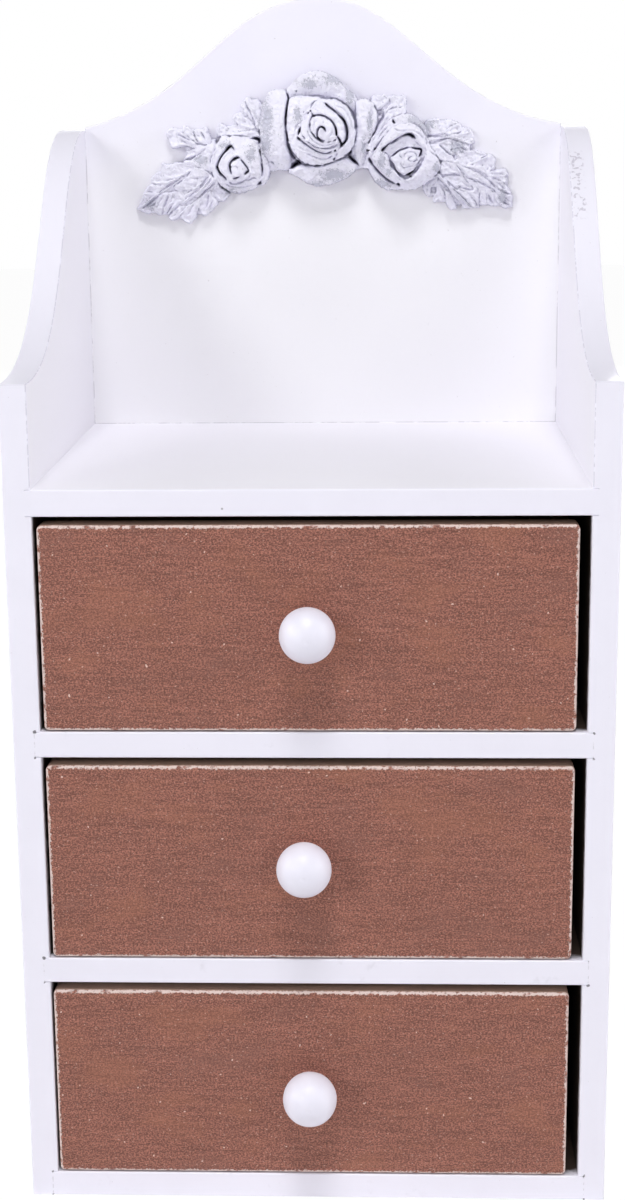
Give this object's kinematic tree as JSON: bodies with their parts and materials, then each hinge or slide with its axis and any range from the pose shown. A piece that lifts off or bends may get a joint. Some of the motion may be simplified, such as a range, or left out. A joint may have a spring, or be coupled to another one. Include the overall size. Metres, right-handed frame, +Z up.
{
  "type": "drawer cabinet",
  "caption": "Small tabletop cabinet with a stack of brown drawers under an open shelf, curved sides, and a rose garland on its bell-shaped back.",
  "frame": {"origin": "middle of the carcass's underside, on the surface that it stands on", "axes": "+Z up, -Y the way the drawers open, +X to the right of someone who faces the drawers"},
  "size_m": [0.17, 0.149, 0.3506],
  "materials": {
    "white_paint": "matt white paint on fibreboard",
    "brown_paint": "brushed matt brown paint, rubbed through to pale wood at the edges",
    "raw_board": "bare fibreboard",
    "thin_board": "bare thin board",
    "knob_paint": "satin white paint on turned wood",
    "cast_ornament": "cast resin, white paint brushed over grey",
    "steel": "bright zinc"
  },
  "bodies": {
    "carcass": {"left_side": "white_paint", "right_side": "white_paint", "back_panel": "white_paint", "bottom_board": "white_paint", "lower_divider": "white_paint", "upper_divider": "white_paint", "top_shelf": "white_paint", "rose_garland": "cast_ornament", "carcass_brads": "steel"},
    "bottom_drawer": {"bottom_drawer_front": "brown_paint", "bottom_drawer_left_side": "raw_board", "bottom_drawer_right_side": "raw_board", "bottom_drawer_back": "raw_board", "bottom_drawer_floor": "thin_board", "bottom_drawer_brads": "steel", "bottom_drawer_knob": "knob_paint", "bottom_drawer_knob_screw": "steel"},
    "middle_drawer": {"middle_drawer_front": "brown_paint", "middle_drawer_left_side": "raw_board", "middle_drawer_right_side": "raw_board", "middle_drawer_back": "raw_board", "middle_drawer_floor": "thin_board", "middle_drawer_brads": "steel", "middle_drawer_knob": "knob_paint", "middle_drawer_knob_screw": "steel"},
    "top_drawer": {"top_drawer_front": "brown_paint", "top_drawer_left_side": "raw_board", "top_drawer_right_side": "raw_board", "top_drawer_back": "raw_board", "top_drawer_floor": "thin_board", "top_drawer_brads": "steel", "top_drawer_knob": "knob_paint", "top_drawer_knob_screw": "steel"}
  },
  "joints": [
    {"name": "bottom_drawer_slide", "type": "slide", "parent": "carcass", "child": "bottom_drawer", "axis": [0, -1, 0], "range_m": [0, 0.105]},
    {"name": "middle_drawer_slide", "type": "slide", "parent": "carcass", "child": "middle_drawer", "axis": [0, -1, 0], "range_m": [0, 0.105]},
    {"name": "top_drawer_slide", "type": "slide", "parent": "carcass", "child": "top_drawer", "axis": [0, -1, 0], "range_m": [0, 0.105]}
  ]
}
